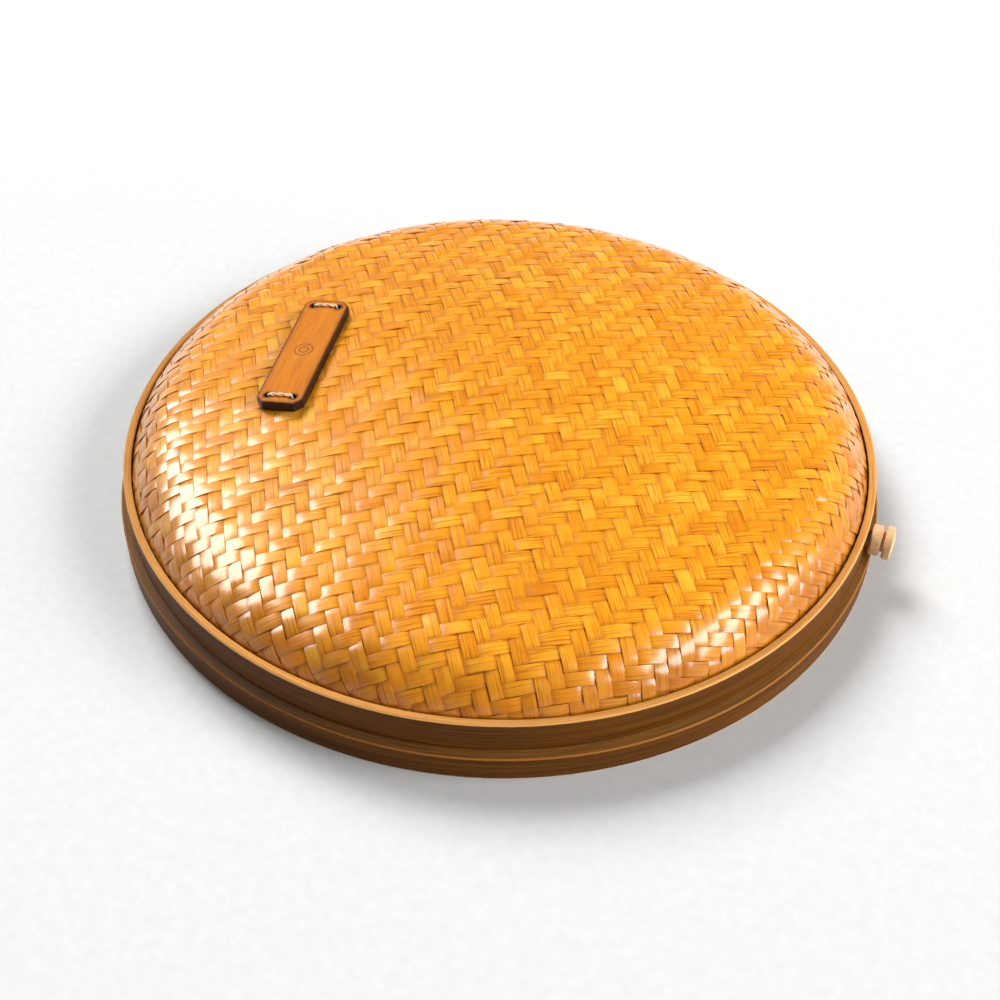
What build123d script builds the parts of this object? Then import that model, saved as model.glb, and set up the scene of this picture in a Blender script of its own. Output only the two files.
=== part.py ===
from build123d import *
import os
from math import asin, cos, degrees, radians, sin, sqrt

os.makedirs("parts", exist_ok=True)

# A round, flat, woven bamboo box that holds one pressed tea cake. The base is a shallow tray with a raised
# tongue, the lid is a pillow-shaped twill dome clamped in a bent hoop, and a turned peg keys the two together.
# Millimetres, +Z up. The origin is the centre of the foot plane, and +X points towards the peg.

# Driving dimensions: the hoops, from the outside in
LID_RADIUS = 115.0            # outer face of the lid's outer hoop, Ø230 for a Ø200 cake
LID_HOOP_WALL = 2.3
WEAVE_THICKNESS = 1.0         # two crossing strips
LID_INNER_WALL = 2.0
TONGUE_PLAY = 0.3             # between the lid's inner hoop and the base's tongue
TONGUE_WALL = 2.0
BASE_RADIUS = 117.3           # the base's outer hoop stands out past the lid
BASE_INNER_RADIUS = 112.6     # outer face of the base's inner hoop
EDGE_BEVEL = 0.4              # broken edges of the bent strips

# Heights above the foot plane
BASE_HOOP_TOP = 9.0
SEAT_TOP = 9.55               # the base's inner hoop carries the lid
SEAT_GAP = 0.05
LID_HOOP_TOP = 19.5
LID_INNER_TOP = 17.8
TONGUE_TOP = 17.2
FLOOR_RECESS = 1.5            # the woven floor hangs above the foot plane
BACKING_THICKNESS = 0.8       # coarse inner weave of lid and base
EDGE_SETBACK = 0.6            # a clamped weave edge stops short of the hoops' edges
LEDGE_DROP = 0.8              # fall of the base hoop's bevelled top ledge
LEDGE_FLAT = 1.0

# The dome's section: vertical skirt, tight bend, shoulder arc, shallow crown
BEND_START = 17.4
BEND_RADIUS = 3.0
SHOULDER_START_SLOPE = 62.0
SHOULDER_RADIUS = 26.0
CROWN_START_SLOPE = 9.0
FLOOR_BEND_RADIUS = 3.0

# The peg: a turned spool outside, a plain stem inside
PEG_HEIGHT = 14.0
STEM_RADIUS = 2.0
STEM_PLAY = 0.05
STEM_TIP = 105.5
NOTCH_PLAY = 0.4
NECK_START, NECK_RADIUS = 115.3, 2.5
BARREL_START, BARREL_END, BARREL_RADIUS = 115.95, 119.2, 4.6
GROOVE_RADIUS = 3.0
HEAD_START, HEAD_END, HEAD_RADIUS = 120.0, 122.2, 5.0
PEG_TIP = 122.8
TURNED_ROUND = 0.7
STEM_BEVEL = 0.6

# The plaque, stitched flat on the crown opposite the peg, its long side across the radius
PLAQUE_LENGTH, PLAQUE_WIDTH, PLAQUE_THICKNESS = 52.0, 14.4, 3.0
PLAQUE_RADIUS, PLAQUE_AZIMUTH = 61.8, 188.5
PLAQUE_CLIP = 2.2
PLAQUE_ROUND = 0.3             # its upper edge
PLAQUE_LIFT = 0.05
HOLE_ROW_SPACING, HOLE_PAIR_SPACING, HOLE_RADIUS = 45.6, 8.1, 1.0
THREAD_RADIUS = 0.5
STITCH_SPAN = 7.2             # between the thread's two legs, which hug the inner sides of their holes
THREAD_DEPTH = 1.0            # how far the thread's ends go down into the weave

# Each outer hoop is one bent strip whose tapered ends lap at the back, held by two nails
LAP_AZIMUTH = 97.0
LAP_GAP = 0.25
LAP_CUT_LENGTH = 24.0
LAP_ANGLE = 30.0              # slant of the scarfed ends to the hoop
NAIL_RADIUS, NAIL_HEAD_RADIUS, NAIL_HEAD_HEIGHT = 0.6, 1.3, 0.5
NAIL_POINT_COVER = 0.4        # wood left inside each nail's end
NAIL_OFFSET = 7.0             # along the hoop, each side of the lap's middle
LID_NAIL_HEIGHT, BASE_NAIL_HEIGHT = 13.5, 5.3

# Lengths that only have to be long enough
CUT_MARGIN = 1.0              # how far a cutting shape runs out of the wood
DRILL_LENGTH = 20.0

# Radii and heights that follow
weave_outer = LID_RADIUS - LID_HOOP_WALL
weave_inner = weave_outer - WEAVE_THICKNESS
lid_inner_inside = weave_inner - LID_INNER_WALL
tongue_outer = lid_inner_inside - TONGUE_PLAY
tongue_inner = tongue_outer - TONGUE_WALL
base_weave_outer = BASE_INNER_RADIUS + WEAVE_THICKNESS
lid_bottom = SEAT_TOP + SEAT_GAP
floor_top = FLOOR_RECESS + WEAVE_THICKNESS
backing_top = floor_top + BACKING_THICKNESS


def turned(section):
    """The solid that a section in the radius-height plane sweeps about the box's axis."""
    return revolve(Plane.XZ * section, Axis.Z)


def hoop(inner, outer, low, high):
    """A bent strip with broken edges."""
    section = Rectangle(outer - inner, high - low)
    return turned(Pos((inner + outer) / 2, (low + high) / 2) * chamfer(section.vertices(), EDGE_BEVEL))


def normal_at(slope):
    """Radius and height components of the outward normal where the dome falls at this slope."""
    return Vector(sin(radians(slope)), cos(radians(slope)))


bend_centre = Vector(weave_outer - BEND_RADIUS, BEND_START)
shoulder_centre = bend_centre + normal_at(SHOULDER_START_SLOPE) * (BEND_RADIUS - SHOULDER_RADIUS)
crown_start = shoulder_centre + normal_at(CROWN_START_SLOPE) * SHOULDER_RADIUS
crown_radius = crown_start.X / sin(radians(CROWN_START_SLOPE))
crown_centre = crown_start - normal_at(CROWN_START_SLOPE) * crown_radius


def arc_about(centre, radius, slope_from, slope_to):
    """The dome's arc about a centre, between two slopes."""
    return ThreePointArc(*(centre + normal_at(s) * radius
                           for s in (slope_from, (slope_from + slope_to) / 2, slope_to)))


def dome_arcs(depth):
    """Shoulder and crown of the surface this far below the dome's outer surface."""
    return [arc_about(shoulder_centre, SHOULDER_RADIUS - depth, SHOULDER_START_SLOPE, CROWN_START_SLOPE),
            arc_about(crown_centre, crown_radius - depth, CROWN_START_SLOPE, 0)]


def bend_arc(depth):
    """The bend from the vertical skirt into the shoulder, at this depth."""
    return arc_about(bend_centre, BEND_RADIUS - depth, 90, SHOULDER_START_SLOPE)


def closed_section(upper, lower):
    """The face between two chains of edges that run the same way, closed by straight ends."""
    first = Line(upper[0] @ 0, lower[0] @ 0)
    last = Line(upper[-1] @ 1, lower[-1] @ 1)
    return make_face([*upper, *lower, first, last])


def crown_height(radius):
    """Height of the dome's outer surface on the crown."""
    return crown_centre.Y + sqrt(crown_radius ** 2 - radius ** 2)


def rounded(face, corners, radius):
    """A section with some of its corners rounded, each corner given by its coordinates."""
    chosen = [v for v in face.vertices() if any((Vector(v) - Vector(*c)).length < 1e-4 for c in corners)]
    return fillet(chosen, radius)


def cap_arc(start, radius, height):
    """The outline of a spherical cap that begins at start along the X axis and ends on that axis."""
    sphere = (radius ** 2 + height ** 2) / (2 * height)
    half = asin(radius / sphere) / 2
    middle = (start + height - sphere * (1 - cos(half)), sphere * sin(half))
    return ThreePointArc((start, radius), middle, (start + height, 0))


def lapped(strip, middle_radius, height):
    """A hoop cut through on a slant, so that its two tapered ends lie over each other."""
    cut = Box(LAP_GAP, LAP_CUT_LENGTH, 2 * height)
    return strip - Rot(0, 0, LAP_AZIMUTH) * Pos(middle_radius, 0, height / 2) * Rot(0, 0, LAP_ANGLE) * cut


# Lid: two hoops clamp the skirt of the dome
def woven_dome():
    edge = lid_bottom + EDGE_SETBACK
    chains = []
    for depth in (0, WEAVE_THICKNESS):
        skirt = Line((weave_outer - depth, edge), (weave_outer - depth, BEND_START))
        chains.append([skirt, bend_arc(depth), *dome_arcs(depth)])
    return turned(closed_section(*chains))


def lid_backing():
    return turned(closed_section(dome_arcs(WEAVE_THICKNESS),
                                 dome_arcs(WEAVE_THICKNESS + BACKING_THICKNESS)))


# Base: a bevelled outer hoop as the foot, a seat hoop, a tongue, and a floor clamped between them
def base_outer_hoop():
    return turned(make_face(Polyline(
        (base_weave_outer, 0), (BASE_RADIUS - EDGE_BEVEL, 0), (BASE_RADIUS, EDGE_BEVEL),
        (BASE_RADIUS, BASE_HOOP_TOP - LEDGE_DROP - EDGE_BEVEL),
        (BASE_RADIUS - EDGE_BEVEL, BASE_HOOP_TOP - LEDGE_DROP),
        (base_weave_outer + LEDGE_FLAT, BASE_HOOP_TOP), (base_weave_outer, BASE_HOOP_TOP), close=True)))


def base_inner_hoop():
    section = Pos((tongue_outer + BASE_INNER_RADIUS) / 2, (floor_top + SEAT_TOP) / 2) * Rectangle(
        BASE_INNER_RADIUS - tongue_outer, SEAT_TOP - floor_top)
    return turned(rounded(section, [(BASE_INNER_RADIUS, floor_top)], FLOOR_BEND_RADIUS - WEAVE_THICKNESS))


def woven_floor():
    edge = BASE_HOOP_TOP - EDGE_SETBACK
    section = make_face(Polyline(
        (0, FLOOR_RECESS), (base_weave_outer, FLOOR_RECESS), (base_weave_outer, edge),
        (BASE_INNER_RADIUS, edge), (BASE_INNER_RADIUS, floor_top), (0, floor_top), close=True))
    section = rounded(section, [(base_weave_outer, FLOOR_RECESS)], FLOOR_BEND_RADIUS)
    return turned(rounded(section, [(BASE_INNER_RADIUS, floor_top)], FLOOR_BEND_RADIUS - WEAVE_THICKNESS))


# Peg: stem, neck, barrel, groove and head, turned about its own axis
def lock_peg():
    section = make_face([
        Polyline((STEM_TIP, 0), (STEM_TIP, STEM_RADIUS - STEM_BEVEL), (STEM_TIP + STEM_BEVEL, STEM_RADIUS),
                 (NECK_START, STEM_RADIUS), (NECK_START, NECK_RADIUS), (BARREL_START, NECK_RADIUS),
                 (BARREL_START, BARREL_RADIUS), (BARREL_END, BARREL_RADIUS), (BARREL_END, GROOVE_RADIUS),
                 (HEAD_START, GROOVE_RADIUS), (HEAD_START, HEAD_RADIUS), (HEAD_END, HEAD_RADIUS)),
        cap_arc(HEAD_END, HEAD_RADIUS, PEG_TIP - HEAD_END),
        Line((PEG_TIP, 0), (STEM_TIP, 0))])
    turned_edges = [(BARREL_START, BARREL_RADIUS), (BARREL_END, BARREL_RADIUS), (HEAD_START, HEAD_RADIUS)]
    return Pos(0, 0, PEG_HEIGHT) * revolve(rounded(section, turned_edges, TURNED_ROUND), Axis.X)


def along_peg(radius):
    """A rod on the peg's axis that crosses the walls on the peg's side only."""
    return Pos(LID_RADIUS, 0, PEG_HEIGHT) * Rot(0, 90, 0) * Cylinder(radius, DRILL_LENGTH)


def tongue_notch():
    """An open-topped slot that the stem drops into as the lid goes on."""
    width = 2 * (STEM_RADIUS + NOTCH_PLAY)
    rise = TONGUE_TOP - PEG_HEIGHT + CUT_MARGIN
    return along_peg(width / 2) + Pos(LID_RADIUS, 0, PEG_HEIGHT + rise / 2) * Box(DRILL_LENGTH, width, rise)


# Plaque and its stitches, placed on the plane that touches the crown
azimuth, tilt = radians(PLAQUE_AZIMUTH), asin(PLAQUE_RADIUS / crown_radius)
outward = Vector(cos(azimuth), sin(azimuth), 0)
plaque_plane = Plane(
    origin=outward * PLAQUE_RADIUS + Vector(0, 0, crown_height(PLAQUE_RADIUS)),
    x_dir=Vector(-sin(azimuth), cos(azimuth), 0), z_dir=outward * sin(tilt) + Vector(0, 0, cos(tilt)))
stitch_rows = [-HOLE_ROW_SPACING / 2, HOLE_ROW_SPACING / 2]
hole_pair = [-HOLE_PAIR_SPACING / 2, HOLE_PAIR_SPACING / 2]
leg_pair = [-STITCH_SPAN / 2, STITCH_SPAN / 2]


def name_plaque():
    outline = Rectangle(PLAQUE_LENGTH, PLAQUE_WIDTH)
    outline = chamfer(outline.vertices(), PLAQUE_CLIP)
    board = extrude(outline, PLAQUE_THICKNESS)
    board = fillet(board.faces().sort_by(Axis.Z)[-1].edges(), PLAQUE_ROUND)
    for x in stitch_rows:
        for y in hole_pair:
            board -= Pos(x, y, PLAQUE_THICKNESS / 2) * Cylinder(HOLE_RADIUS, 2 * PLAQUE_THICKNESS)
    return plaque_plane * Pos(0, 0, PLAQUE_LIFT) * board


def plaque_stitch(x):
    """Thread over the plaque from hole to hole, with its two ends down into the weave."""
    top = PLAQUE_LIFT + PLAQUE_THICKNESS + THREAD_RADIUS
    leg = top + THREAD_DEPTH
    stitch = Pos(x, 0, top) * Rot(90, 0, 0) * Cylinder(THREAD_RADIUS, STITCH_SPAN)
    for y in leg_pair:
        stitch += Pos(x, y, top) * Sphere(THREAD_RADIUS)
        stitch += Pos(x, y, top - leg / 2) * Cylinder(THREAD_RADIUS, leg)
    return plaque_plane * stitch


def at_lap(shape, height):
    """A shape made along the X axis, repeated on both sides of the laps at this height."""
    turn = degrees(NAIL_OFFSET / LID_RADIUS)
    return [Rot(0, 0, LAP_AZIMUTH + side * turn) * Pos(0, 0, height) * shape for side in (-1, 1)]


def hoop_nails(outer, inner, height):
    """Two nails through a hoop, the weave and the hoop behind, their domed heads outside."""
    end = inner + NAIL_POINT_COVER
    nail = make_face([
        Polyline((outer, NAIL_HEAD_RADIUS), (outer, NAIL_RADIUS), (end, NAIL_RADIUS), (end, 0),
                 (outer + NAIL_HEAD_HEIGHT, 0)),
        cap_arc(outer, NAIL_HEAD_RADIUS, NAIL_HEAD_HEIGHT)])
    return at_lap(revolve(nail, Axis.X), height)


def nail_holes(outer, inner, height):
    """The holes that the shanks of hoop_nails fill."""
    end = inner + NAIL_POINT_COVER
    length = outer + CUT_MARGIN - end
    return at_lap(Pos(end + length / 2, 0, 0) * Rot(0, 90, 0) * Cylinder(NAIL_RADIUS, length), height)


lid_nailing = (LID_RADIUS, lid_inner_inside, LID_NAIL_HEIGHT)
base_nailing = (BASE_RADIUS, tongue_outer, BASE_NAIL_HEIGHT)
lid_holes, base_holes = nail_holes(*lid_nailing), nail_holes(*base_nailing)
stem_hole = along_peg(STEM_RADIUS + STEM_PLAY)


def drilled(solid, *tools):
    """A solid with each hole, slot or nail taken out of it."""
    for tool in tools:
        solid = solid - tool
    return solid


lid_outer = lapped(hoop(weave_outer, LID_RADIUS, lid_bottom, LID_HOOP_TOP),
                   LID_RADIUS - LID_HOOP_WALL / 2, LID_HOOP_TOP)
base_outer = lapped(base_outer_hoop(), (base_weave_outer + BASE_RADIUS) / 2, BASE_HOOP_TOP)
lid_inner = hoop(lid_inner_inside, weave_inner, lid_bottom, LID_INNER_TOP)
tongue = hoop(tongue_inner, tongue_outer, floor_top, TONGUE_TOP)
base_backing = Pos(0, 0, (floor_top + backing_top) / 2) * Cylinder(tongue_inner, BACKING_THICKNESS)

nodes = {
    "base_outer_hoop": drilled(base_outer, *base_holes),
    "base_inner_hoop": drilled(base_inner_hoop(), *base_holes),
    "base_tongue_hoop": drilled(tongue, tongue_notch()),
    "base_woven_floor": drilled(woven_floor(), *base_holes),
    "base_backing_weave": base_backing,
    "base_hoop_nails": Compound(children=hoop_nails(*base_nailing)),
    "lid_outer_hoop": drilled(lid_outer, *lid_holes, stem_hole),
    "lid_inner_hoop": drilled(lid_inner, *lid_holes, stem_hole),
    "lid_woven_dome": drilled(woven_dome(), *lid_holes, stem_hole),
    "lid_backing_weave": lid_backing(),
    "lid_hoop_nails": Compound(children=hoop_nails(*lid_nailing)),
    "name_plaque": name_plaque(),
    "plaque_stitch_front": plaque_stitch(stitch_rows[0]),
    "plaque_stitch_rear": plaque_stitch(stitch_rows[1]),
    "lock_peg": lock_peg(),
}

for name, shape in nodes.items():
    export_step(shape, f"parts/{name}.step")
print(f"crown height {crown_height(0):.2f}, crown radius {crown_radius:.1f}, "
      f"backing top {backing_top:.2f}, tongue inner radius {tongue_inner:.2f}")
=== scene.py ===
import math
from dataclasses import dataclass, replace

import bpy
import numpy as np
from mathutils import Matrix, Vector


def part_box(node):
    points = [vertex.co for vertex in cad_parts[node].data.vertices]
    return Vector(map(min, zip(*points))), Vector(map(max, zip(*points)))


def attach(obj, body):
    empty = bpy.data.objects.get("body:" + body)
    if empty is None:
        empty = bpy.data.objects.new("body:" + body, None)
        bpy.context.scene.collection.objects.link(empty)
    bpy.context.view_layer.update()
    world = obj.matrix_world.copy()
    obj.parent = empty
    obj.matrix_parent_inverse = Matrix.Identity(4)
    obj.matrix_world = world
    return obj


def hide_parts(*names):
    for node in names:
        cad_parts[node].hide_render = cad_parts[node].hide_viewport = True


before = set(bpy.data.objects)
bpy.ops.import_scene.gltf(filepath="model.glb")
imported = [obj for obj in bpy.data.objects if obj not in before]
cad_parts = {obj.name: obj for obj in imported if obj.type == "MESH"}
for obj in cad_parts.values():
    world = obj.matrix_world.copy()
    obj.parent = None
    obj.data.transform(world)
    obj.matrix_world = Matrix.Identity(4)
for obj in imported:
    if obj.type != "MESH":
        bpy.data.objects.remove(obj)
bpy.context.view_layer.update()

MM = 0.001
TINY = 1e-9
random = np.random.default_rng(7)


# ---------------------------------------------------------------------------------------------
# Sizes, in millimetres: those that the frame gives, and those of the details
# ---------------------------------------------------------------------------------------------
def node_box(node):
    """Lowest and highest corner of a CAD node."""
    low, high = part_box(node)
    return np.array(low) / MM, np.array(high) / MM


def node_points(node):
    """Every mesh point of a CAD node."""
    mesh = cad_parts[node].data
    points = np.empty(len(mesh.vertices) * 3)
    mesh.vertices.foreach_get("co", points)
    return points.reshape(-1, 3) / MM


DOME_LOW, DOME_HIGH = node_box("lid_woven_dome")
FLOOR_LOW, FLOOR_HIGH = node_box("base_woven_floor")
BACKING_LOW, BACKING_HIGH = node_box("base_backing_weave")
SKIRT_RADIUS = DOME_HIGH[1]
APEX = DOME_HIGH[2]
BACKING_THICKNESS = BACKING_HIGH[2] - BACKING_LOW[2]
WEAVE_THICKNESS = BACKING_LOW[2] - FLOOR_LOW[2]

# The dome's section: crown, shoulder and bend arcs, each with the slope it ends at
CROWN_END, SHOULDER_END, UPRIGHT = math.radians(9), math.radians(62), math.radians(90)
SHOULDER_RADIUS, BEND_RADIUS = 26.0, 3.0
FLOOR_BEND_RADIUS = 3.0
PROFILE_STEPS = 2000

LAP_AZIMUTH = math.radians(97)                 # where the bent strips of the hoops lap

# The plaque and its stitches
PLAQUE_CLIP, HOLE_RADIUS = 2.2, 1.0
THREAD_RADIUS, THREAD_TWIST = 0.5, 5.0         # the twist is the length of one full turn
PLIES, PLY_SHARE = 2, 0.56                     # a ply's radius, as a share of the thread's
STITCH_BENDS = (0.7, 4.0, 0.7)                 # radii of the bends into, along and out of the plaque
STITCH_CROWN = 0.1                             # rise of a stitch's middle above its ends


# ---------------------------------------------------------------------------------------------
# Surfaces of revolution that a flat weave is laid on
# ---------------------------------------------------------------------------------------------
class Profile:
    """A surface of revolution, given by the arcs of its section from the centre out.

    Each arc is (length, slope that it ends at). up is +1 where the outer side faces up, as on the lid, and -1
    where it faces down, as under the base. From clamp_from on, along the surface, hoops press the weave."""

    def __init__(self, centre_height, arcs, clamp_from=math.inf, up=1):
        share = np.linspace(0, 1, PROFILE_STEPS)[1:]
        distance, slope = [0.0], [0.0]
        for length, end_slope in arcs:
            start, begin = slope[-1], distance[-1]
            distance.extend(begin + share * length)
            slope.extend(start + share * (end_slope - start))
        self.distance, self.slope = np.array(distance), np.array(slope)
        gaps = np.diff(self.distance)
        middle = (self.slope[1:] + self.slope[:-1]) / 2
        self.radius = np.concatenate([[0], np.cumsum(np.cos(middle) * gaps)])
        self.height = centre_height - up * np.concatenate([[0], np.cumsum(np.sin(middle) * gaps)])
        self.clamp_from, self.up = clamp_from, up
        self.length = self.distance[-1]

    def place(self, u, v, rise):
        """Points at flat coordinates u, v, raised along the outward normal."""
        away = np.hypot(u, v)
        slope = np.interp(away, self.distance, self.slope)
        radius = np.interp(away, self.distance, self.radius) + rise * np.sin(slope)
        height = np.interp(away, self.distance, self.height) + rise * np.cos(slope) * self.up
        share = np.where(away > TINY, radius / np.maximum(away, TINY), 1)
        return np.stack([u * share, v * share, height], -1)

    def slope_at(self, radius):
        return float(np.interp(radius, self.radius, self.slope))


def dome_arcs():
    """The lid's crown and shoulder, and the height that they fall by together with the bend."""
    after_crown = (SHOULDER_RADIUS * (math.sin(SHOULDER_END) - math.sin(CROWN_END))
                   + BEND_RADIUS * (1 - math.sin(SHOULDER_END)))
    crown_radius = (SKIRT_RADIUS - after_crown) / math.sin(CROWN_END)
    fall = (crown_radius * (1 - math.cos(CROWN_END))
            + SHOULDER_RADIUS * (math.cos(CROWN_END) - math.cos(SHOULDER_END))
            + BEND_RADIUS * math.cos(SHOULDER_END))
    return [(crown_radius * CROWN_END, CROWN_END),
            (SHOULDER_RADIUS * (SHOULDER_END - CROWN_END), SHOULDER_END)], fall


def dome_profile():
    """The lid's outer surface, from the apex down its upright skirt."""
    arcs, fall = dome_arcs()
    bend = (BEND_RADIUS * (UPRIGHT - SHOULDER_END), UPRIGHT)
    skirt = (APEX - fall - DOME_LOW[2], UPRIGHT)
    return Profile(APEX, [*arcs, bend, skirt], clamp_from=sum(arc[0] for arc in (*arcs, bend)))


def floor_profile():
    """The base's underside, from its centre out and up to the edge between the hoops."""
    flat = FLOOR_HIGH[1] - FLOOR_BEND_RADIUS
    bend = FLOOR_BEND_RADIUS * UPRIGHT
    edge = FLOOR_HIGH[2] - FLOOR_LOW[2] - FLOOR_BEND_RADIUS
    return Profile(FLOOR_LOW[2], [(flat, 0), (bend, UPRIGHT), (edge, UPRIGHT)], clamp_from=flat, up=-1)


# ---------------------------------------------------------------------------------------------
# Meshes
# ---------------------------------------------------------------------------------------------
def mesh_piece(name, points, faces, sharp_angle=None, **attributes):
    """A smooth mesh object from points in millimetres, with a point attribute for each keyword."""
    mesh = bpy.data.meshes.new(name)
    mesh.from_pydata((np.asarray(points) * MM).tolist(), [], faces)
    mesh.update()
    for key, values in attributes.items():
        values = np.asarray(values, np.float32)
        vector = values.ndim == 2
        layer = mesh.attributes.new(key, "FLOAT_VECTOR" if vector else "FLOAT", "POINT")
        layer.data.foreach_set("vector" if vector else "value", values.ravel())
    mesh.shade_smooth()
    if sharp_angle is not None:
        mesh.set_sharp_from_angle(angle=sharp_angle)
    return linked(name, mesh)


def linked(name, data):
    """A new object in the scene."""
    obj = bpy.data.objects.new(name, data)
    bpy.context.scene.collection.objects.link(obj)
    return obj


def tube_faces(rings, sides, start=0):
    """Quads between the rings of a tube, and a face at each end."""
    ring = np.arange(sides)
    begin = start + np.arange(rings - 1)[:, None] * sides
    here, following = ring[None, :], np.roll(ring, -1)[None, :]
    quads = np.stack([begin + here, begin + sides + here, begin + sides + following, begin + following], -1)
    last = start + (rings - 1) * sides
    return quads.reshape(-1, 4).tolist() + [(start + ring).tolist(), (last + ring[::-1]).tolist()]


def wander(count, size, reach):
    """A smooth random line of count values, of about this size, that changes over reach steps."""
    knots = random.normal(0, size, max(2, int(count / reach) + 2))
    return np.interp(np.linspace(0, len(knots) - 1, count), np.arange(len(knots)), knots)


# ---------------------------------------------------------------------------------------------
# Weaves
# ---------------------------------------------------------------------------------------------
@dataclass
class Weave:
    """How the strips of a flat weave cross, in millimetres."""
    angle: float             # direction of the first strips, in plan
    row_pitch: float         # from one first strip to the next
    cross_pitch: float       # from one crossing strip to the next
    depth: float             # of the weave's middle below the surface it is laid under
    over: int = 2            # crossings that a strip stays on top for
    cover: float = 0.985     # a strip's width, as a share of its pitch
    thickness: float = 0.38
    lift: float = 0.27       # how far a strip's middle rises and falls
    sharpness: float = 1.4   # 0 for a wave, more for a flat top with steep ends
    steps: int = 4           # points to a crossing
    drift: float = 1.1       # how far hand-laid strips bow from straight lines
    lumps: float = 0.16      # how far the whole weave swells and sinks
    phase: float = 0.0


# A strip's section, faintly crowned above, with broken edges: (share of width, share of thickness)
STRIP_SECTION = np.array([(-0.5, -0.2), (-0.485, 0.38), (0, 0.68), (0.485, 0.38), (0.5, -0.2), (0.42, -0.5),
                          (-0.42, -0.5)])
STRIP_SHARP = math.radians(24)                 # edges sharper than this aren't smoothed
CLAMPED_LIFT, CLAMPED_THICKNESS = 0.6, 0.75    # what is left of each where the hoops press the strips
CLAMP_RUN = 3.0                                # the strips flatten over this length
SHOULDER_FROM, SHOULDER_RUN, SHOULDER_LIFT = 88.0, 12.0, 0.4    # strips stand out more round the shoulder
DRIFT_LENGTHS, DRIFT_PHASES = (29.0, 37.0), (0.6, 2.0)
LUMP_LENGTHS, LUMP_PHASES = (6.1, 7.3, 9.7), (0.4, 1.9, 3.0)

# How hand-laid strips differ: a strip's own share, the change along it, and the crossings which that takes
WAVE_CHANGE, WAVE_CROSSINGS = 0.10, 2                           # share of the rise and fall
SAG_CHANGE, SAG_CROSSINGS = 0.03, 5                             # up or down, as a whole
WIDTH_OWN, WIDTH_CHANGE, WIDTH_CROSSINGS = 0.025, 0.03, 5       # share of the width
SIDE_OWN, SIDE_CHANGE, SIDE_CROSSINGS = 0.06, 0.08, 4           # off the strip's own line
ROLL_OWN, ROLL_CHANGE, ROLL_CROSSINGS = 0.015, 0.035, 2         # tilt about the strip's length
ODD_SHARE = 0.12                               # of the strips are much lighter, and as many much darker
LIGHT_TINTS, DARK_TINTS, USUAL_TINTS = (0.85, 1.0), (0.0, 0.18), (0.35, 0.65)
GRAIN_OFFSET, GRAIN_ROW = 900, 17.3            # keep each strip's grain apart from its neighbours'


def bowed(u, v, weave):
    """Flat coordinates with the slow drift that both directions of strips share."""
    (long, short), (long_phase, short_phase) = DRIFT_LENGTHS, DRIFT_PHASES
    return (u + weave.drift * np.sin(v / long + long_phase + weave.phase),
            v + weave.drift * np.sin(u / short + short_phase + weave.phase))


def lumps(u, v):
    """Soft swellings about 40 mm long, from -1 to 1."""
    a, b, c = (np.sin(line / length + phase)
               for line, length, phase in zip((u, v, u + v), LUMP_LENGTHS, LUMP_PHASES))
    return (a * b + c) / 2


def strip_tint():
    """Most strips are alike, and a few are much lighter or darker."""
    kind = random.random()
    if kind < ODD_SHARE:
        return random.uniform(*LIGHT_TINTS)
    if kind < 2 * ODD_SHARE:
        return random.uniform(*DARK_TINTS)
    return random.uniform(*USUAL_TINTS)


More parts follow.
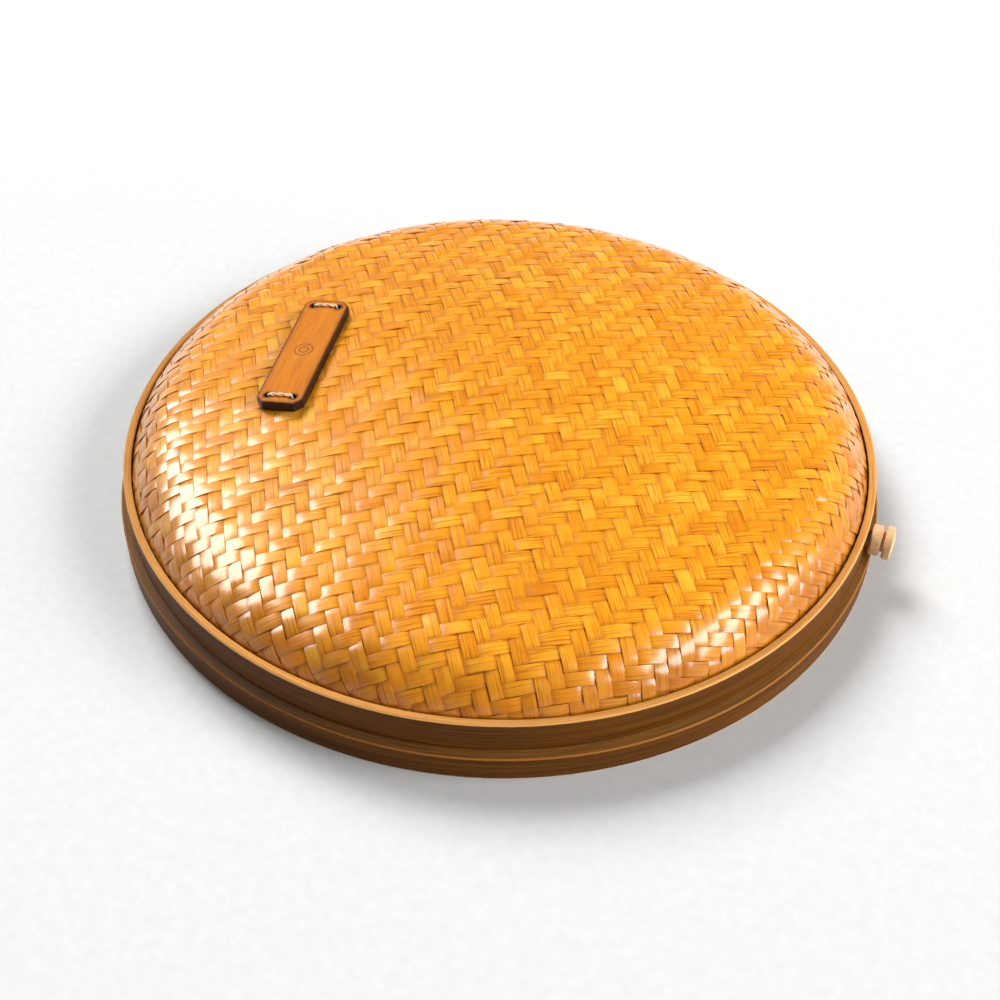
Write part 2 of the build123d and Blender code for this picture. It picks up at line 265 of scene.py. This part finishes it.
def one_strip(profile, weave, first, row):
    """A strip's points and their places along and across it, by section, then its wave and its tint."""
    pitch, crossing = weave.row_pitch, weave.cross_pitch
    if not first:
        pitch, crossing = crossing, pitch
    reach, middle = profile.length, (row + 0.5) * pitch
    half = math.sqrt(reach ** 2 - middle ** 2) + 2 * weave.drift
    n = int(round(2 * half / crossing * weave.steps))
    along = np.linspace(-half, half, n)
    plateau = row + weave.over / 2 + (0 if first else 1)
    wave = np.cos(np.pi * (along / crossing - plateau) / weave.over)
    wave = np.tanh(weave.sharpness * wave) / math.tanh(weave.sharpness)
    uneven = 1 + wander(n, WAVE_CHANGE, WAVE_CROSSINGS * weave.steps)
    sag = wander(n, SAG_CHANGE, SAG_CROSSINGS * weave.steps)
    own_width = 1 + random.normal(0, WIDTH_OWN) + wander(n, WIDTH_CHANGE, WIDTH_CROSSINGS * weave.steps)
    side = middle + random.normal(0, SIDE_OWN) + wander(n, SIDE_CHANGE, SIDE_CROSSINGS * weave.steps)
    roll = random.normal(0, ROLL_OWN) + wander(n, ROLL_CHANGE, ROLL_CROSSINGS * weave.steps)
    tint, offset = strip_tint(), random.uniform(0, GRAIN_OFFSET)

    across = STRIP_SECTION[None, :, 0] * (pitch * weave.cover * own_width)[:, None]
    u, v = np.broadcast_to(along[:, None], across.shape), side[:, None] + across
    if not first:
        u, v = v, u
    u, v = bowed(u, v, weave)
    away = np.hypot(u, v)
    inside = np.flatnonzero(away.min(axis=1) < reach)
    kept = slice(max(inside[0] - 1, 0), inside[-1] + 2)
    u, v, away, across = u[kept], v[kept], away[kept], across[kept]

    pressed = np.clip((away - profile.clamp_from + CLAMP_RUN) / CLAMP_RUN, 0, 1)
    lift = weave.lift * (1 - (1 - CLAMPED_LIFT) * pressed)
    thick = weave.thickness * (1 - (1 - CLAMPED_THICKNESS) * pressed)
    loose = sag[kept, None] + roll[kept, None] * across + weave.lumps * lumps(u, v)
    proud = 1 + SHOULDER_LIFT * np.clip((away - SHOULDER_FROM) / SHOULDER_RUN, 0, 1) * (1 - pressed)
    rise = (-weave.depth + lift * proud * (wave * uneven)[kept, None]
            + loose * (1 - pressed) + STRIP_SECTION[:, 1] * thick)

    shrink = np.minimum(1, reach / np.maximum(away, TINY))
    u, v = u * shrink, v * shrink
    cos, sin = math.cos(weave.angle), math.sin(weave.angle)
    points = profile.place(u * cos - v * sin, u * sin + v * cos, rise)
    lengthwise = np.broadcast_to(along[kept, None] + offset, across.shape)
    places = np.stack([lengthwise, across, np.full_like(across, row * GRAIN_ROW)], -1)
    return points, places, wave[kept], tint


def weave_piece(name, profile, weave, first):
    """One direction's strips, with each point's place along and across its strip, its tint and its rise.

    first is True for the strips whose direction is the weave's angle, and False for those that cross them."""
    pitch = weave.row_pitch if first else weave.cross_pitch
    rows, sides = int(profile.length / pitch), len(STRIP_SECTION)
    points, faces, places, tints, rises = [], [], [], [], []
    count = 0
    for row in range(-rows, rows + 1):
        if abs(row + 0.5) * pitch > profile.length - pitch * weave.cover:
            continue
        strip_points, strip_places, wave, tint = one_strip(profile, weave, first, row)
        points.append(strip_points.reshape(-1, 3))
        faces += tube_faces(len(wave), sides, count)
        places.append(strip_places.reshape(-1, 3))
        tints.append(np.full(len(wave) * sides, tint))
        rises.append(np.repeat(wave, sides))
        count += len(wave) * sides
    if first != (profile.up > 0):
        faces = [face[::-1] for face in faces]
    return mesh_piece(name, np.concatenate(points), faces, STRIP_SHARP, strip=np.concatenate(places),
                      tint=np.concatenate(tints), rise=np.concatenate(rises))


# ---------------------------------------------------------------------------------------------
# Plaque axes and its stitches
# ---------------------------------------------------------------------------------------------
class Axes:
    """A right-handed set of axes on the dome: along the plaque, across it and out of it."""

    def __init__(self, centre, slope):
        azimuth = math.atan2(centre[1], centre[0])
        radial = np.array([math.cos(azimuth), math.sin(azimuth), 0])
        self.along = np.array([-math.sin(azimuth), math.cos(azimuth), 0])
        self.out = radial * math.sin(slope) + np.array([0, 0, math.cos(slope)])
        self.across = np.cross(self.out, self.along)
        self.centre = np.array(centre)

    def local(self, points):
        return (points - self.centre) @ np.stack([self.along, self.across, self.out], 1)

    def world(self, points):
        return self.centre + points @ np.stack([self.along, self.across, self.out])


def smooth_path(corners, radii, count):
    """Evenly spaced points on a polyline whose inner corners are rounded with these radii."""
    path = [corners[0]]
    share = np.linspace(0, 1, 12)[:, None]
    for before, corner, after, radius in zip(corners, corners[1:], corners[2:], radii):
        come, go = corner - before, after - corner
        come, go = come / np.linalg.norm(come), go / np.linalg.norm(go)
        turn = math.acos(np.clip(come @ go, -1, 1))
        cut = radius * math.tan(turn / 2)
        start, end = corner - come * cut, corner + go * cut
        path.extend((1 - share) ** 2 * start + 2 * share * (1 - share) * corner + share ** 2 * end)
    path = np.array([*path, corners[-1]])
    distance = np.concatenate([[0], np.cumsum(np.linalg.norm(np.diff(path, axis=0), axis=1))])
    even = np.linspace(0, distance[-1], count)
    return np.stack([np.interp(even, distance, path[:, axis]) for axis in range(3)], 1), even


def twisted_thread(corners, sides=9, count=150):
    """Plies twisted about a stitch's path: points, faces, and each point's place along and round its ply."""
    path, distance = smooth_path(np.array(corners, float), STITCH_BENDS, count)
    heading = np.gradient(path, axis=0)
    heading /= np.linalg.norm(heading, axis=1)[:, None]
    level = np.array([1.0, 0, 0])
    second = np.cross(heading, level)
    second /= np.linalg.norm(second, axis=1)[:, None]
    first = np.cross(second, heading)
    ply_radius = THREAD_RADIUS * PLY_SHARE
    around = np.linspace(0, 2 * np.pi, sides, endpoint=False)
    ring = np.cos(around)[None, :, None] * first[:, None] + np.sin(around)[None, :, None] * second[:, None]
    fibre_twist, ply_gap = 0.9, 5.0
    points, faces, places = [], [], []
    for ply in range(PLIES):
        angle = 2 * np.pi * (distance / THREAD_TWIST + ply / PLIES)
        aside = np.cos(angle)[:, None] * first + np.sin(angle)[:, None] * second
        centre = path + (THREAD_RADIUS - ply_radius) * aside
        points.append((centre[:, None] + ply_radius * ring).reshape(-1, 3))
        faces += tube_faces(count, sides, ply * count * sides)
        turned = around[None, :] * ply_radius + distance[:, None] * fibre_twist
        lengthwise = np.broadcast_to(distance[:, None], turned.shape)
        places.append(np.stack([lengthwise, turned, np.full_like(turned, ply_gap * ply)], -1).reshape(-1, 3))
    return np.concatenate(points), faces, np.concatenate(places)


# ---------------------------------------------------------------------------------------------
# Material helpers
# ---------------------------------------------------------------------------------------------
class Nodes:
    """A new material's node tree, with short ways to add and join nodes."""

    def __init__(self, name):
        self.material = bpy.data.materials.new(name)
        self.material.use_nodes = True
        self.tree = self.material.node_tree
        self.shader = self.tree.nodes["Principled BSDF"]

    def add(self, kind, **values):
        node = self.tree.nodes.new(kind)
        for key, value in values.items():
            setattr(node, key, value)
        return node

    def put(self, socket, value):
        """Gives a socket a number, a colour, or another node's output."""
        if isinstance(value, bpy.types.NodeSocket):
            self.tree.links.new(value, socket)
        else:
            socket.default_value = value

    def math(self, operation, *values):
        node = self.add("ShaderNodeMath", operation=operation)
        for socket, value in zip(node.inputs, values):
            self.put(socket, value)
        return node.outputs[0]

    def total(self, *values):
        """The sum of values, each a socket or a (socket, weight) pair."""
        result = None
        for value in values:
            part = self.math("MULTIPLY", *value) if isinstance(value, tuple) else value
            result = part if result is None else self.math("ADD", result, part)
        return result

    def least(self, first, *others):
        for other in others:
            first = self.math("MINIMUM", first, other)
        return first

    def length(self, x, y):
        return self.math("SQRT", self.total((x, x), (y, y)))

    def attribute(self, name, output="Fac"):
        return self.add("ShaderNodeAttribute", attribute_name=name).outputs[output]

    def position(self):
        """Place in the object's own frame, in millimetres."""
        return self.stretched(self.add("ShaderNodeTexCoord").outputs["Object"], 1 / MM, 1 / MM, 1 / MM)

    def normal(self):
        return self.add("ShaderNodeTexCoord").outputs["Normal"]

    def split(self, vector):
        node = self.add("ShaderNodeSeparateXYZ")
        self.put(node.inputs[0], vector)
        return node.outputs

    def vector(self, *parts):
        node = self.add("ShaderNodeCombineXYZ")
        for socket, value in zip(node.inputs, parts):
            self.put(socket, value)
        return node.outputs[0]

    def stretched(self, vector, *scale):
        node = self.add("ShaderNodeVectorMath", operation="MULTIPLY")
        self.put(node.inputs[0], vector)
        node.inputs[1].default_value = scale
        return node.outputs[0]

    def dot(self, vector, direction):
        node = self.add("ShaderNodeVectorMath", operation="DOT_PRODUCT")
        self.put(node.inputs[0], vector)
        node.inputs[1].default_value = tuple(direction)
        return node.outputs["Value"]

    def noise(self, vector, scale=1.0, detail=3.0, roughness=0.55, distortion=0.0):
        node = self.add("ShaderNodeTexNoise")
        self.put(node.inputs["Vector"], vector)
        for name, value in (("Scale", scale), ("Detail", detail), ("Roughness", roughness),
                            ("Distortion", distortion)):
            node.inputs[name].default_value = value
        return node.outputs["Fac"]

    def grain(self, vector, along, across, through, detail, roughness=0.5, distortion=0.0):
        """Noise with its own number of features to a millimetre in each direction."""
        return self.noise(self.stretched(vector, along, across, through), 1.0, detail, roughness, distortion)

    def ramp(self, value, positions, colours):
        node = self.add("ShaderNodeValToRGB")
        self.put(node.inputs[0], value)
        elements = node.color_ramp.elements
        while len(elements) < len(colours):
            elements.new(0.5)
        for element, position, colour in zip(elements, positions, colours):
            element.position, element.color = position, colour
        return node.outputs[0]

    def spread(self, value, low, high, to_low=0.0, to_high=1.0):
        """A value mapped from one range to another, and held there."""
        node = self.add("ShaderNodeMapRange")
        for socket, number in zip(node.inputs, (value, low, high, to_low, to_high)):
            self.put(socket, number)
        return node.outputs[0]

    def mix(self, factor, a, b):
        node = self.add("ShaderNodeMix", data_type="RGBA")
        for index, value in ((0, factor), (6, a), (7, b)):
            self.put(node.inputs[index], value)
        return node.outputs[2]

    def finish(self, colour, roughness, height, strength, **numbers):
        """Joins up the shader. height is in units of 0.1 mm."""
        bump = self.add("ShaderNodeBump")
        self.put(bump.inputs["Height"], height)
        bump.inputs["Strength"].default_value = strength
        bump.inputs["Distance"].default_value = 0.1 * MM
        self.put(self.shader.inputs["Normal"], bump.outputs[0])
        self.put(self.shader.inputs["Base Color"], colour)
        self.put(self.shader.inputs["Roughness"], roughness)
        for name, number in numbers.items():
            self.shader.inputs[name.replace("_", " ")].default_value = number
        return self.material


def srgb(*channels):
    """A linear colour from 0-255 display values."""
    def linear(c):
        c /= 255
        return c / 12.92 if c <= 0.04045 else ((c + 0.055) / 1.055) ** 2.4
    return (*[linear(c) for c in channels], 1)


# ---------------------------------------------------------------------------------------------
# Materials
# ---------------------------------------------------------------------------------------------
# Colours, from dark to light
LACQUER = srgb(222, 130, 16), srgb(242, 156, 24), srgb(252, 184, 50)
# The rim colour is painted shade on the strips where they go down under the hoop
# The stain colours serve for real dark streaks and edges, and for painted shade where strips dip under their
# crossings
LACQUER_STAIN_AND_SHADE, LACQUER_RIM_SHADE = srgb(164, 84, 8), srgb(156, 82, 4)
UNLACQUERED = srgb(176, 122, 62), srgb(208, 160, 98), srgb(232, 194, 136)
UNLACQUERED_STAIN_AND_SHADE = srgb(120, 76, 36)
# Outer hoop sides: the darker bamboo skin, darkened further as painted shade
HOOP_SIDE_SKIN_AND_SHADE = srgb(60, 32, 5), srgb(94, 54, 9), srgb(130, 78, 19)
LID_CUT, LID_WORN = (srgb(176, 112, 48), srgb(226, 162, 88)), srgb(232, 172, 104)
# The base hoop's cut top and worn corners: its rounded ledge has darker skin, and the colours are darkened
# further as painted shade under the lid's hoop
BASE_CUT_AND_SHADE, BASE_WORN_AND_SHADE = (srgb(84, 52, 20), srgb(130, 86, 38)), srgb(168, 108, 48)
INNER_SIDE = srgb(168, 116, 62), srgb(204, 154, 94), srgb(228, 186, 126)
INNER_CUT, INNER_WORN = (srgb(206, 160, 100), srgb(238, 202, 146)), srgb(238, 202, 146)
PEG_WOOD, PEG_PORES = (srgb(222, 166, 114), srgb(242, 196, 146)), srgb(172, 114, 70)
THREAD_CREAM = srgb(226, 182, 122), srgb(255, 234, 192)
BRASS = srgb(110, 78, 34), srgb(196, 154, 84)
PLAQUE_WOOD = srgb(182, 98, 16), srgb(208, 122, 22), srgb(222, 140, 34)
PLAQUE_BURNT = srgb(22, 10, 6), srgb(60, 28, 14)
SCORCHED, CHARRED, MARKED = srgb(150, 78, 36), srgb(70, 32, 14), srgb(116, 66, 38)
PAPER = (0.70, 0.70, 0.69, 1), (0.74, 0.74, 0.73, 1)

RIM_SHADE_FROM, RIM_SHADE_TO = 115.0, 125.0                # radii of the painted shade by the hoop, before clouds and tints shift them
MARK_RINGS = (1.4, 2.8)                        # radii of the plaque's plain mark
MARK_CORE, MARK_EDGE = 0.16, 0.34              # its lines fade out between these distances


def strip_material(name, colours, stain, width, roughness, coat, dip_shade=0.4, rim_shade=0.0):
    """Split bamboo: fibres along each strip, a tint of its own, dark edges, and painted shade where it dips
    under the crossing strips.

    The last argument sets how much browner the strips are where they go under the hoop: painted shade in the
    crease there."""
    n = Nodes(name)
    strip = n.attribute("strip", "Vector")
    tint, rise = n.attribute("tint"), n.attribute("rise")
    fibres = n.grain(strip, 0.06, 4.2, 1.0, 4, 0.65)
    streaks = n.grain(strip, 0.05, 2.1, 1.0, 3, 0.65, 0.3)
    blotches = n.grain(strip, 0.13, 0.12, 1.0, 2)
    clouds = n.noise(n.position(), 0.06, 3, 0.5)
    tone = n.math("SUBTRACT", n.total((fibres, 0.32), (streaks, 0.40), (blotches, 0.45), (tint, 0.24)), 0.205)
    colour = n.ramp(tone, (0.30, 0.50, 0.68), colours)
    colour = n.mix(n.spread(streaks, 0.45, 0.36, 0.0, 0.6), colour, stain)
    colour = n.mix(n.spread(clouds, 0.52, 0.30, 0.0, 0.35), colour, colours[0])
    x, y = n.split(n.position())[:2]
    out = n.total(n.length(x, y), (clouds, 22), (tint, 3))
    # Painted shade: browner towards the hoop, where the strips go down under it
    colour = n.mix(n.spread(out, RIM_SHADE_FROM, RIM_SHADE_TO, 0.0, rim_shade), colour, LACQUER_RIM_SHADE)
    across = n.math("ABSOLUTE", n.split(strip)[1])
    edge = n.math("MULTIPLY", n.spread(across, 0.40 * width, 0.5 * width), 0.2)
    # Painted shade: darker where the strip dips under its crossing strips
    dip_shade_mask = n.math("MULTIPLY", n.spread(rise, 0.7, -0.1), dip_shade)
    colour = n.mix(n.math("MAXIMUM", edge, dip_shade_mask), colour, stain)
    rough = n.spread(n.total(fibres, (tint, 0.3)), 0.3, 0.9, roughness - 0.06, roughness + 0.10)
    return n.finish(colour, rough, n.total((fibres, 0.9), (streaks, 1.0)), 0.6,
                    Coat_Weight=coat, Coat_Roughness=0.2, Coat_IOR=1.56, Specular_IOR_Level=0.3)


def hoop_material(name, side, cut, worn, roughness, gloss):
    """A bent bamboo strip: grain round the box on its sides, and cut edges, worn at their corners."""
    n = Nodes(name)
    x, y, z = n.split(n.position())[:3]
    # Lengths round the box are counted from the lap, so that the grain's only break is there
    cos, sin = math.cos(LAP_AZIMUTH + math.pi), math.sin(LAP_AZIMUTH + math.pi)
    towards, beside = n.total((x, cos), (y, sin)), n.total((y, cos), (x, -sin))
    along = n.math("MULTIPLY", n.math("ARCTAN2", beside, towards), SKIRT_RADIUS)
    section = n.vector(along, z, n.length(x, y))
    fibres = n.grain(section, 0.02, 2.6, 2.6, 5, 0.6)
    patches = n.grain(section, 0.012, 0.3, 0.3, 2, 0.5, 0.3)
    colour = n.ramp(n.total((fibres, 0.75), (patches, 0.25)), (0.34, 0.52, 0.68), side)
    cut_colour = n.ramp(n.grain(section, 0.05, 4.0, 4.0, 4, 0.7), (0.32, 0.62), cut)
    upright = n.math("ABSOLUTE", n.split(n.normal())[2])
    level = n.spread(upright, 0.5, 0.9)
    corner = n.math("MULTIPLY", n.spread(upright, 0.2, 0.5), n.spread(upright, 0.95, 0.8))
    rough = n.total(n.spread(fibres, 0.3, 0.7, roughness - 0.05, roughness + 0.1), (level, 0.1))
    colour = n.mix(n.math("MULTIPLY", corner, 0.8), n.mix(level, colour, cut_colour), worn)
    return n.finish(colour, rough, fibres, 0.35, Specular_IOR_Level=gloss)


def peg_material():
    """Pale turned wood, with its grain and fine tool marks round the X axis."""
    n = Nodes("turned_peg_wood")
    position = n.position()
    fibres = n.grain(position, 0.35, 2.2, 2.2, 4, 0.6)
    rings = n.grain(position, 5.0, 0.1, 0.1, 2)
    pores = n.spread(n.grain(position, 0.7, 6.0, 6.0, 2), 0.30, 0.42, 0.4, 0.0)
    colour = n.ramp(n.total((fibres, 0.75), (rings, 0.25)), (0.32, 0.62), PEG_WOOD)
    return n.finish(n.mix(pores, colour, PEG_PORES), n.spread(fibres, 0.3, 0.7, 0.46, 0.62),
                    n.total((rings, 0.6), (fibres, 0.5)), 0.4)


def thread_material():
    """Waxed cream thread with fine fibres along its plies."""
    n = Nodes("waxed_thread")
    fibres = n.grain(n.attribute("strip", "Vector"), 0.6, 7.0, 1.0, 3, 0.6)
    colour = n.ramp(fibres, (0.3, 0.65), THREAD_CREAM)
    return n.finish(colour, n.spread(fibres, 0.3, 0.7, 0.5, 0.7), fibres, 0.5, Sheen_Weight=0.2)


def brass_material():
    """Dulled brass, darker and rougher in patches."""
    n = Nodes("dull_brass")
    position = n.position()
    stain = n.noise(position, 1.4, 4, 0.6)
    colour = n.ramp(stain, (0.35, 0.65), BRASS)
    return n.finish(colour, n.spread(stain, 0.3, 0.7, 0.55, 0.3), n.noise(position, 6, 2), 0.3, Metallic=1.0)


def plaque_material(axes, half, rows, pairs):
    """Fine orange wood with burnt sides, rim and holes, and a plain mark of two rings.

    half is the plaque's half length and half width, and its holes are at -rows and rows along it, and -pairs
    and pairs across it."""
    n = Nodes("burnt_edge_wood")
    position = n.position()
    x = n.math("SUBTRACT", n.dot(position, axes.along), axes.centre @ axes.along)
    y = n.math("SUBTRACT", n.dot(position, axes.across), axes.centre @ axes.across)
    fibres = n.grain(n.vector(x, y, 0.0), 0.10, 2.4, 1.0, 4, 0.65)
    figure = n.grain(n.vector(x, y, 0.0), 0.05, 0.35, 1.0, 2, 0.5, 0.6)
    face = n.ramp(n.total((fibres, 0.6), (figure, 0.4)), (0.32, 0.50, 0.68), PLAQUE_WOOD)

    side_x, side_y = n.math("ABSOLUTE", x), n.math("ABSOLUTE", y)
    to_end, to_side = n.math("SUBTRACT", half[0], side_x), n.math("SUBTRACT", half[1], side_y)
    to_corner = n.math("MULTIPLY", n.math("SUBTRACT", n.total(to_end, to_side), PLAQUE_CLIP), 0.7)
    hole_x, hole_y = n.math("SUBTRACT", side_x, rows), n.math("SUBTRACT", side_y, pairs)
    to_hole = n.math("SUBTRACT", n.length(hole_x, hole_y), HOLE_RADIUS)
    ragged = n.math("MULTIPLY_ADD", n.noise(position, 0.9, 3, 0.6), 1.2, -0.6)
    near = n.total(n.least(to_end, to_side, to_corner, to_hole), (ragged, 0.35))
    face = n.mix(n.spread(near, 2.0, 0.6, 0.0, 0.45), face, SCORCHED)
    face = n.mix(n.spread(near, 0.80, 0.25, 0.0, 0.85), face, CHARRED)

    from_centre = n.length(x, y)
    to_rings = n.least(*[n.math("ABSOLUTE", n.math("SUBTRACT", from_centre, ring)) for ring in MARK_RINGS])
    mark = n.spread(to_rings, MARK_EDGE, MARK_CORE)
    face = n.mix(n.math("MULTIPLY", mark, 0.7), face, MARKED)
    burnt = n.ramp(n.grain(position, 1.5, 1.5, 0.8, 3, 0.6), (0.35, 0.7), PLAQUE_BURNT)
    on_top = n.spread(n.dot(n.normal(), axes.out), 0.35, 0.8)
    height = n.math("SUBTRACT", n.math("MULTIPLY", fibres, 0.6), n.math("MULTIPLY", mark, 1.5))
    return n.finish(n.mix(on_top, burnt, face), n.spread(fibres, 0.3, 0.7, 0.38, 0.52), height, 0.35,
                    Specular_IOR_Level=0.25)


def paint(material, *nodes):
    """Gives carried-over CAD nodes their material."""
    for node in nodes:
        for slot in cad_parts[node].material_slots:
            slot.link = "OBJECT"
            slot.material = material


# ---------------------------------------------------------------------------------------------
# The pieces
# ---------------------------------------------------------------------------------------------
def finished(obj, body, material, slot, *replaced):
    obj.data.materials.append(material)
    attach(obj, body)
    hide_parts(*replaced)


twill = Weave(angle=math.radians(31.6), row_pitch=3.85, cross_pitch=4.08, depth=WEAVE_THICKNESS / 2)
plain = Weave(angle=math.radians(12), row_pitch=8.4, cross_pitch=8.4, depth=BACKING_THICKNESS / 2, over=1,
              cover=0.93, thickness=0.3, lift=0.2, sharpness=2.0, steps=8, drift=1.5, lumps=0.0)

lacquered = strip_material("lacquered_strips", LACQUER, LACQUER_STAIN_AND_SHADE, twill.cover * twill.cross_pitch,
                           roughness=0.28, coat=1.0, rim_shade=0.6)
unlacquered = strip_material("plain_strips", UNLACQUERED, UNLACQUERED_STAIN_AND_SHADE, plain.cover * plain.cross_pitch,
                             roughness=0.62, coat=0.0, dip_shade=0.35)

lid_outside = dome_profile()
under_dome = Profile(APEX, dome_arcs()[0])
over_floor = Profile(BACKING_HIGH[2], [(BACKING_HIGH[0], 0)])
under_twill = replace(plain, depth=WEAVE_THICKNESS + plain.depth)
woven = [
    ("lid_weave", lid_outside, twill, lacquered, "lid", "woven_strips", "lid_woven_dome"),
    ("floor_weave", floor_profile(), replace(twill, phase=2.0), lacquered, "base", "woven_strips",
     "base_woven_floor"),
    ("lid_backing", under_dome, under_twill, unlacquered, "lid", "backing_weave", "lid_backing_weave"),
    ("floor_backing", over_floor, replace(plain, phase=1.0), unlacquered, "base", "backing_weave",
     "base_backing_weave"),
]
for name, profile, weave, material, body, slot, node in woven:
    for first, direction in ((True, "long"), (False, "cross")):
        finished(weave_piece(f"{name}_strips_{direction}", profile, weave, first), body, material, slot, node)

plaque_low, plaque_high = node_box("name_plaque")
plaque_middle = (plaque_low + plaque_high) / 2
plaque_axes = Axes(plaque_middle, lid_outside.slope_at(math.hypot(*plaque_middle[:2])))
plaque_half = plaque_axes.local(node_points("name_plaque")).max(axis=0)
waxed = thread_material()
for node in ("plaque_stitch_front", "plaque_stitch_rear"):
    place = plaque_axes.local(node_points(node))
    low, high = place.min(axis=0) + THREAD_RADIUS, place.max(axis=0) - THREAD_RADIUS
    at, foot, top = (low[0] + high[0]) / 2, low[2] - THREAD_RADIUS, high[2]
    points, faces, strip = twisted_thread([(at, low[1], foot), (at, low[1], top), (at, 0, top + STITCH_CROWN),
                                           (at, high[1], top), (at, high[1], foot)])
    thread = mesh_piece(f"{node}_thread", plaque_axes.world(points), faces, strip=strip)
    finished(thread, "lid", waxed, "thread", node)
    stitch_row, stitch_side = abs(at), high[1]

hole_side = stitch_side + HOLE_RADIUS - THREAD_RADIUS
paint(plaque_material(plaque_axes, plaque_half[:2], stitch_row, hole_side), "name_plaque")
# The outer hoops' side colours carry painted shade as well as the skin's own dark colour
paint(hoop_material("lid_hoop_bamboo", HOOP_SIDE_SKIN_AND_SHADE, LID_CUT, LID_WORN, roughness=0.42, gloss=0.08),
      "lid_outer_hoop")
# A darker copy of the lid hoop's cut top and corners: partly darker skin, partly painted shade under the
# lid's hoop
paint(hoop_material("base_hoop_bamboo_and_shade", HOOP_SIDE_SKIN_AND_SHADE, BASE_CUT_AND_SHADE, BASE_WORN_AND_SHADE, roughness=0.42, gloss=0.08),
      "base_outer_hoop")
paint(hoop_material("inner_hoop_bamboo", INNER_SIDE, INNER_CUT, INNER_WORN, roughness=0.6, gloss=0.4),
      "lid_inner_hoop", "base_inner_hoop", "base_tongue_hoop")
paint(peg_material(), "lock_peg")
paint(brass_material(), "lid_hoop_nails", "base_hoop_nails")

# ---------------------------------------------------------------------------------------------
# Floor, light and camera, in metres
# ---------------------------------------------------------------------------------------------
VIEW_AZIMUTH, VIEW_ELEVATION, VIEW_ROLL = math.radians(20), math.radians(43.7), math.radians(1.05)
VIEW_DISTANCE, VIEW_DROP = 0.470, -0.008
LENS, SENSOR = 53.0, 36
CLIP_START, CLIP_END = 0.01, 20
FLOOR_RADIUS, FLOOR_SIDES = 2.4, 128
LAMP_DISTANCE, LAMP_AIM = 3.3, 0.02            # the lamps face a point this far above the floor


def studio_floor():
    """A wide round sheet of off-white paper."""
    around = np.linspace(0, 2 * np.pi, FLOOR_SIDES, endpoint=False)
    edge = np.stack([FLOOR_RADIUS * np.cos(around), FLOOR_RADIUS * np.sin(around), np.zeros(FLOOR_SIDES)], 1)
    mesh = bpy.data.meshes.new("studio_floor")
    mesh.from_pydata(edge.tolist(), [], [list(range(FLOOR_SIDES))])
    n = Nodes("studio_paper")
    grain = n.noise(n.position(), 0.3, 2)
    mesh.materials.append(n.finish(n.ramp(grain, (0.3, 0.7), PAPER), 0.9, grain, 0.1))
    linked("studio_floor", mesh)


def soft_light(name, azimuth, elevation, width, height, power, lights=True, mirrored=True):
    """A rectangular lamp that faces the box. The azimuth is counted from the camera's right.

    lights and mirrored say whether it lights matt surfaces and shows as a highlight in glossy ones."""
    a, e = math.radians(azimuth) + VIEW_AZIMUTH, math.radians(elevation)
    lamp = bpy.data.lights.new(name, "AREA")
    lamp.shape = "RECTANGLE"
    lamp.size, lamp.size_y = width, height
    lamp.energy = power
    obj = linked(name, lamp)
    obj.visible_diffuse, obj.visible_glossy = lights, mirrored
    place = Vector((math.cos(a) * math.cos(e), math.sin(a) * math.cos(e), math.sin(e))) * LAMP_DISTANCE
    obj.location = place + Vector((0, 0, LAMP_AIM))
    obj.rotation_mode = "QUATERNION"
    obj.rotation_quaternion = place.to_track_quat("Z", "Y")


def photo_camera():
    """The camera, which faces the middle of the box from the front and above."""
    camera = bpy.data.cameras.new("camera")
    camera.sensor_width, camera.lens = SENSOR, LENS
    camera.clip_start, camera.clip_end = CLIP_START, CLIP_END
    obj = linked("camera", camera)
    a, e = VIEW_AZIMUTH, VIEW_ELEVATION
    back = Vector((math.sin(a) * math.cos(e), -math.cos(a) * math.cos(e), math.sin(e)))
    level = Vector((math.cos(a), math.sin(a), 0))
    right = level * math.cos(VIEW_ROLL) + back.cross(level) * math.sin(VIEW_ROLL)
    up = back.cross(right)
    turn = Matrix((right, up, back)).transposed().to_4x4()
    obj.matrix_world = Matrix.Translation(back * VIEW_DISTANCE + up * VIEW_DROP) @ turn
    bpy.context.scene.camera = obj


def world_light(horizon, overhead, fades_at):
    """Pale walls that fade to a dim ceiling at this height, from 0 level to 1 overhead."""
    world = bpy.data.worlds.new("studio")
    world.use_nodes = True
    tree = world.node_tree
    place = tree.nodes.new("ShaderNodeTexCoord")
    split = tree.nodes.new("ShaderNodeSeparateXYZ")
    fade = tree.nodes.new("ShaderNodeMapRange")
    tree.links.new(place.outputs["Generated"], split.inputs[0])
    tree.links.new(split.outputs[2], fade.inputs[0])
    for socket, number in zip(list(fade.inputs)[1:], (0, fades_at, horizon, overhead)):
        socket.default_value = number
    background = tree.nodes["Background"]
    background.inputs[0].default_value = (1, 1, 1, 1)
    tree.links.new(fade.outputs[0], background.inputs[1])
    bpy.context.scene.world = world


bpy.context.scene.view_settings.view_transform = "Standard"
studio_floor()
world_light(horizon=0.55, overhead=0.08, fades_at=0.4)
soft_light("left_sheen", 158, 41, width=2.60, height=1.80, power=158, lights=False)
soft_light("rear_box", 120, 45, width=1.60, height=1.60, power=130, mirrored=False)
soft_light("right_box", -18, 36, width=2.60, height=0.95, power=84)
soft_light("low_fill", -22, 4, width=1.20, height=0.40, power=75, mirrored=False)
photo_camera()
